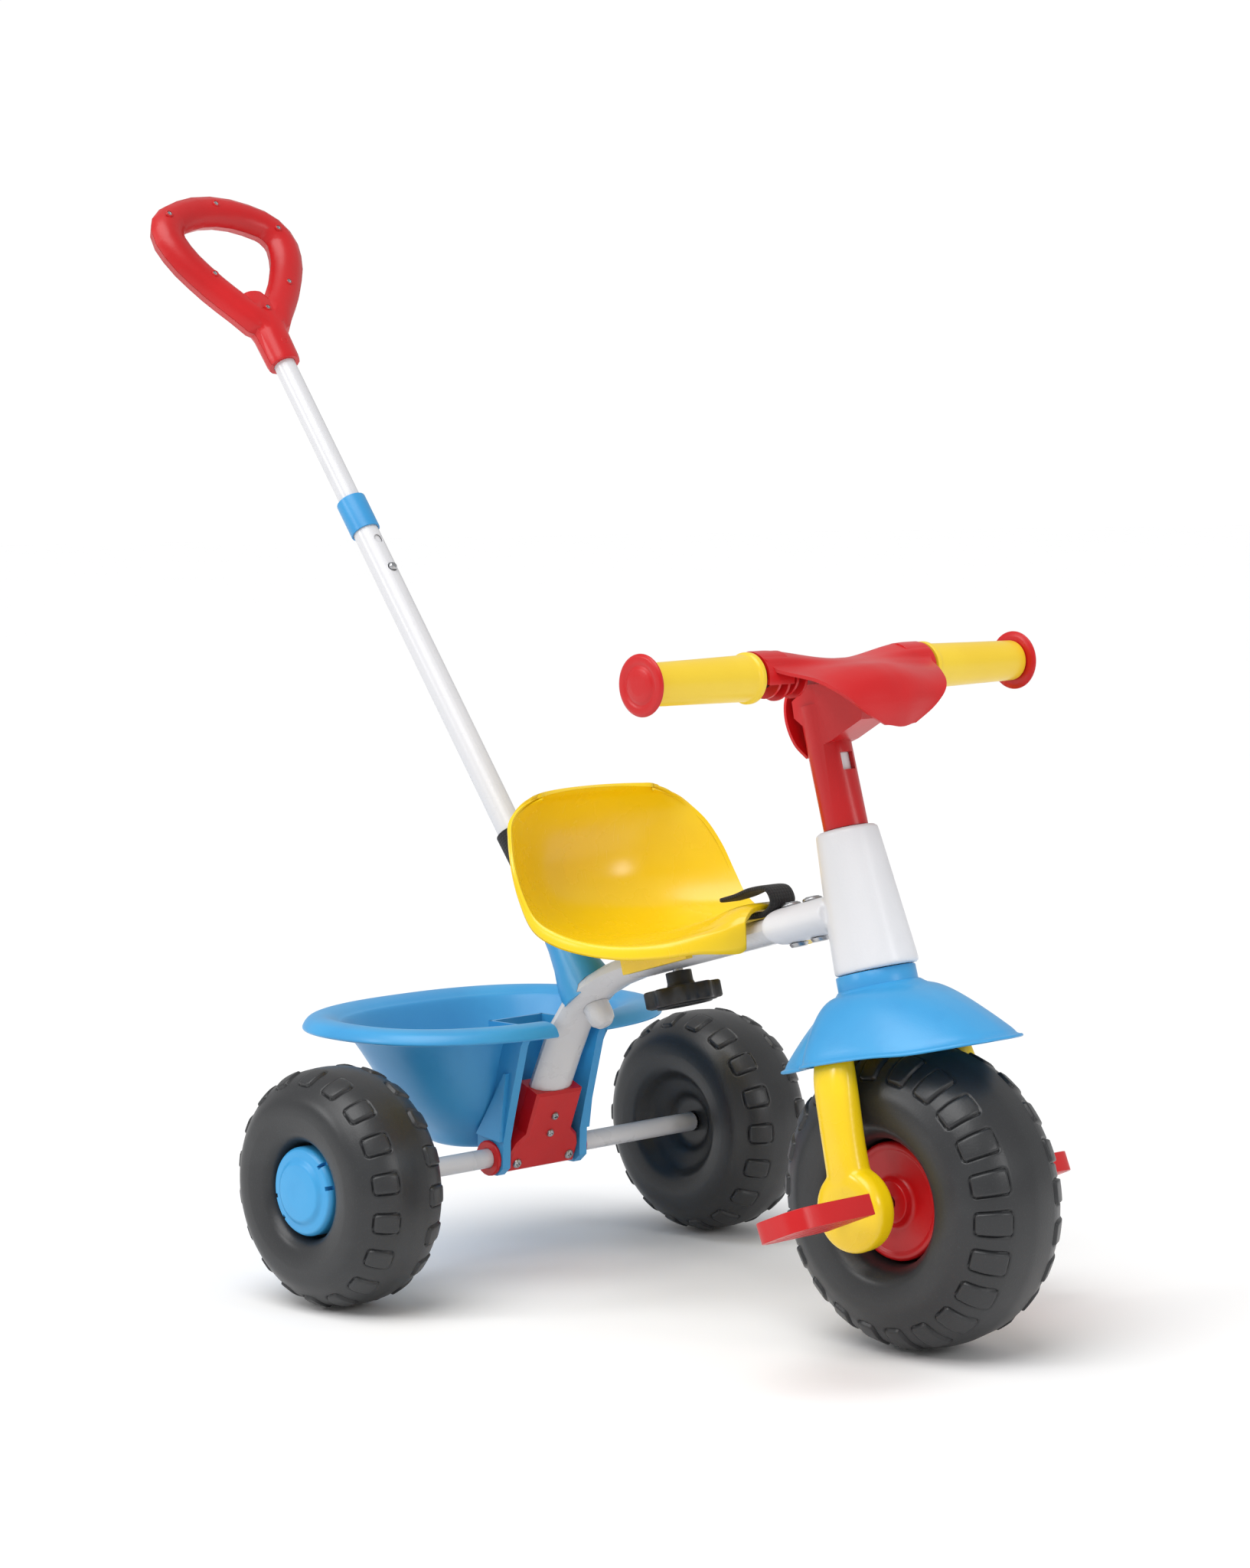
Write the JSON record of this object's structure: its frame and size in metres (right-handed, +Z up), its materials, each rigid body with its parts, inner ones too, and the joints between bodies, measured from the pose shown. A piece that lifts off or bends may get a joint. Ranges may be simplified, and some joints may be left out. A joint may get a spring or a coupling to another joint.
{
  "type": "children's tricycle",
  "caption": "Children's pedal tricycle with steering fork, sliding seat, tipping rear bucket, balloon wheels and telescopic push pole.",
  "frame": {"origin": "on the floor, at the middle of the tricycle's length and width", "axes": "+X forward (towards the front wheel), +Y to the rider's left, +Z up"},
  "size_m": [0.9058, 0.4666, 0.8492],
  "materials": {
    "white_steel": "smooth satin white paint on steel tube",
    "steel": "bright zinc-plated steel",
    "white_plastic": "semi-gloss white moulding",
    "red_plastic": "semi-gloss red moulding",
    "blue_plastic": "semi-gloss sky-blue moulding",
    "yellow_plastic": "semi-gloss yellow moulding",
    "grip_plastic": "satin yellow grip moulding",
    "tyre_plastic": "satin charcoal blow-moulded plastic",
    "black_plastic": "satin black moulding",
    "webbing": "woven black webbing"
  },
  "bodies": {
    "frame": {"main_frame_tube": "white_steel", "head_housing": "white_plastic", "head_bolt_rear": "steel", "head_bolt_front": "steel", "head_nut_rear": "steel", "head_nut_front": "steel", "rear_axle_tube": "white_steel", "bracket_front_shell": "red_plastic", "bracket_rear_shell": "red_plastic", "bracket_screw_upper": "steel", "bracket_screw_middle": "steel", "bracket_screw_right": "steel", "bracket_screw_left": "steel", "axle_bush_right": "red_plastic", "axle_bush_left": "red_plastic", "wheel_spindle_right": "steel", "wheel_spindle_left": "steel", "spindle_cap_right": "steel", "spindle_cap_left": "steel", "pole_socket": "blue_plastic", "socket_lug": "white_steel"},
    "steering": {"fork": "yellow_plastic", "mudguard": "blue_plastic", "steering_column": "white_steel", "handlebar_stem": "red_plastic", "handlebar_tube": "steel", "handlebar_cover": "red_plastic", "grip_right": "grip_plastic", "grip_left": "grip_plastic", "grip_end_right": "red_plastic", "grip_end_left": "red_plastic"},
    "front_wheel": {"front_wheel": "tyre_plastic", "hub_disc_left": "red_plastic", "hub_disc_right": "red_plastic", "crank_axle": "steel"},
    "pedal_right": {"pedal_right": "red_plastic"},
    "pedal_left": {"pedal_left": "red_plastic"},
    "rear_wheel_right": {"rear_wheel_right": "tyre_plastic", "hub_cap_right": "blue_plastic"},
    "rear_wheel_left": {"rear_wheel_left": "tyre_plastic", "hub_cap_left": "blue_plastic"},
    "bucket": {"bucket": "blue_plastic"},
    "seat": {"seat_shell": "yellow_plastic", "seat_saddle": "yellow_plastic", "seat_stud": "steel", "crotch_strap": "webbing"},
    "seat_knob": {"seat_knob": "black_plastic"},
    "pole_lower": {"pole_lower_tube": "white_steel", "pole_stop_stud": "steel", "pole_collar": "blue_plastic", "pole_band": "webbing"},
    "pole_upper": {"pole_upper_tube": "white_steel", "handle_front_shell": "red_plastic", "handle_rear_shell": "red_plastic"},
    "snap_button": {"snap_button": "steel"}
  },
  "joints": [
    {"name": "steering_turn", "type": "hinge", "parent": "frame", "child": "steering", "pos_m": [0.34644, 0, 0.107], "axis": [-0.2588, 0, 0.9659], "range_deg": [-45, 45]},
    {"name": "front_wheel_spin", "type": "hinge", "parent": "steering", "child": "front_wheel", "pos_m": [0.34644, 0, 0.107], "axis": [0, 1, 0], "continuous": true},
    {"name": "pedal_right_spin", "type": "hinge", "parent": "front_wheel", "child": "pedal_right", "pos_m": [0.38121, -0.147, 0.11632], "axis": [0, 1, 0], "continuous": true},
    {"name": "pedal_left_spin", "type": "hinge", "parent": "front_wheel", "child": "pedal_left", "pos_m": [0.31167, 0.147, 0.09768], "axis": [0, 1, 0], "continuous": true},
    {"name": "rear_wheel_right_spin", "type": "hinge", "parent": "frame", "child": "rear_wheel_right", "pos_m": [-0.05956, -0.192, 0.09], "axis": [0, 1, 0], "continuous": true},
    {"name": "rear_wheel_left_spin", "type": "hinge", "parent": "frame", "child": "rear_wheel_left", "pos_m": [-0.05956, 0.192, 0.09], "axis": [0, 1, 0], "continuous": true},
    {"name": "bucket_tip", "type": "hinge", "parent": "frame", "child": "bucket", "pos_m": [-0.05956, 0, 0.09], "axis": [0, -1, 0], "range_deg": [0, 45]},
    {"name": "seat_slide", "type": "slide", "parent": "frame", "child": "seat", "axis": [0.9659, 0, 0.2588], "range_m": [-0.024, 0]},
    {"name": "seat_knob_turn", "type": "hinge", "parent": "seat", "child": "seat_knob", "pos_m": [0.10344, 0, 0.2554], "axis": [-0.2588, 0, 0.9659], "continuous": true},
    {"name": "pole_pull_out", "type": "slide", "parent": "frame", "child": "pole_lower", "axis": [-0.5892, 0, 0.808], "range_m": [0, 0.05]},
    {"name": "pole_telescope", "type": "slide", "parent": "pole_lower", "child": "pole_upper", "axis": [-0.5892, 0, 0.808], "range_m": [0, 0.028], "deforming": ["snap_button"]},
    {"name": "snap_button_press", "type": "slide", "parent": "pole_upper", "child": "snap_button", "axis": [-0.808, 0, -0.5892], "range_m": [0, 0.0035], "stiffness_N_per_m": 600}
  ]
}
